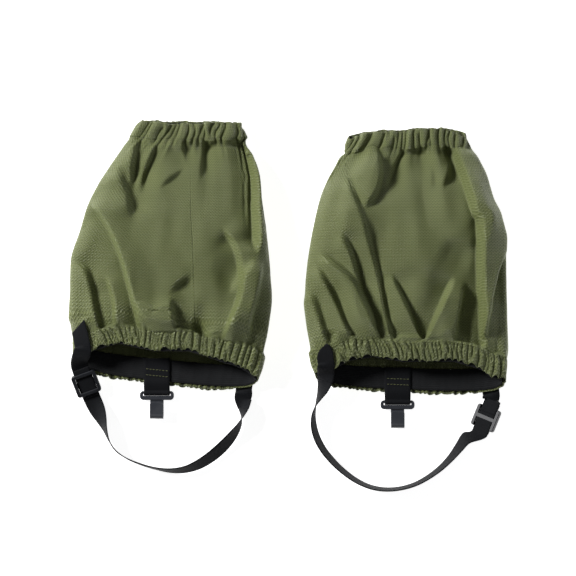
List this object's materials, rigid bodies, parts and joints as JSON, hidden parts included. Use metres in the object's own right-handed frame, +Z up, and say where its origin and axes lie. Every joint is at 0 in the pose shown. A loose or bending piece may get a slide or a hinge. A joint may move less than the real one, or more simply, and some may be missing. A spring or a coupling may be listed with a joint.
{
  "type": "hiking gaiters",
  "caption": "Pair of short olive fabric leg gaiters with elastic cuffs, black instep straps with slide buckles, and a lace hook on each boot hem.",
  "frame": {"origin": "bottom centre of the bounding box, on the table the pair lies on", "axes": "+X from the left gaiter to the right one, +Y from the boot hem to the calf hem, +Z up off the table; the calf side of each gaiter faces +Z"},
  "size_m": [0.4024, 0.3422, 0.0451],
  "materials": {
    "shell_fabric": "satin coated polyester, small diamond weave",
    "hem_fabric": "the shell fabric, folded and gathered",
    "elastic": "matt knitted elastic",
    "black_webbing": "ribbed woven webbing",
    "olive_thread": "matt sewing thread",
    "buckle_plastic": "moulded acetal, fine satin",
    "hook_plastic": "moulded acetal, smooth satin"
  },
  "bodies": {
    "left_gaiter": {"left_medial_panel": "shell_fabric", "left_lateral_panel": "shell_fabric", "left_top_hem": "hem_fabric", "left_bottom_hem": "hem_fabric", "left_top_elastic": "elastic", "left_bottom_elastic": "elastic", "left_back_seam": "olive_thread", "left_front_seam": "olive_thread", "left_top_hem_stitch": "olive_thread", "left_bottom_hem_stitch": "olive_thread", "left_near_anchor": "black_webbing", "left_far_anchor": "black_webbing", "left_hook_tab": "black_webbing", "left_hook_tab_stitch": "olive_thread"},
    "left_strap": {"left_instep_strap": "black_webbing", "left_return_ply": "black_webbing"},
    "left_buckle": {"left_slide_buckle": "buckle_plastic"},
    "left_tab": {"left_tab_loop": "black_webbing"},
    "left_hook": {"left_lace_hook": "hook_plastic"},
    "right_gaiter": {"right_medial_panel": "shell_fabric", "right_lateral_panel": "shell_fabric", "right_top_hem": "hem_fabric", "right_bottom_hem": "hem_fabric", "right_top_elastic": "elastic", "right_bottom_elastic": "elastic", "right_back_seam": "olive_thread", "right_front_seam": "olive_thread", "right_top_hem_stitch": "olive_thread", "right_bottom_hem_stitch": "olive_thread", "right_near_anchor": "black_webbing", "right_far_anchor": "black_webbing", "right_hook_tab": "black_webbing", "right_hook_tab_stitch": "olive_thread"},
    "right_strap": {"right_instep_strap": "black_webbing", "right_return_ply": "black_webbing"},
    "right_buckle": {"right_slide_buckle": "buckle_plastic"},
    "right_tab": {"right_tab_loop": "black_webbing"},
    "right_hook": {"right_lace_hook": "hook_plastic"}
  },
  "joints": [
    {"name": "left_strap_swing", "type": "hinge", "parent": "left_gaiter", "child": "left_strap", "pos_m": [-0.18927, -0.03998, 0.0258], "axis": [-0.9539, 0.269, 0.133], "range_deg": [0, 75]},
    {"name": "left_buckle_slide", "type": "slide", "parent": "left_strap", "child": "left_buckle", "axis": [-0.3319, 0.9118, 0.2419], "range_m": [-0.003, 0.005]},
    {"name": "left_tab_swing", "type": "hinge", "parent": "left_gaiter", "child": "left_tab", "pos_m": [-0.12243, -0.07095, 0.00719], "axis": [-1, 0, 0], "range_deg": [-12, 75]},
    {"name": "left_hook_swing", "type": "hinge", "parent": "left_tab", "child": "left_hook", "pos_m": [-0.12243, -0.08027, 0.00394], "axis": [-1, 0, 0], "range_deg": [-80, 95]},
    {"name": "right_strap_swing", "type": "hinge", "parent": "right_gaiter", "child": "right_strap", "pos_m": [0.03415, -0.05482, 0.02516], "axis": [-0.9744, 0.1871, 0.125], "range_deg": [0, 75]},
    {"name": "right_buckle_slide", "type": "slide", "parent": "right_strap", "child": "right_buckle", "axis": [0.375, 0.927, 0], "range_m": [-0.003, 0.005]},
    {"name": "right_tab_swing", "type": "hinge", "parent": "right_gaiter", "child": "right_tab", "pos_m": [0.10057, -0.07898, 0.00719], "axis": [-1, 0, 0], "range_deg": [-12, 75]},
    {"name": "right_hook_swing", "type": "hinge", "parent": "right_tab", "child": "right_hook", "pos_m": [0.10057, -0.08887, 0.00394], "axis": [-1, 0, 0], "range_deg": [-80, 95]},
    {"name": "pair_spread", "type": "slide", "parent": "left_gaiter", "child": "right_gaiter", "axis": [1, 0, 0], "range_m": [0, 0.2]}
  ]
}
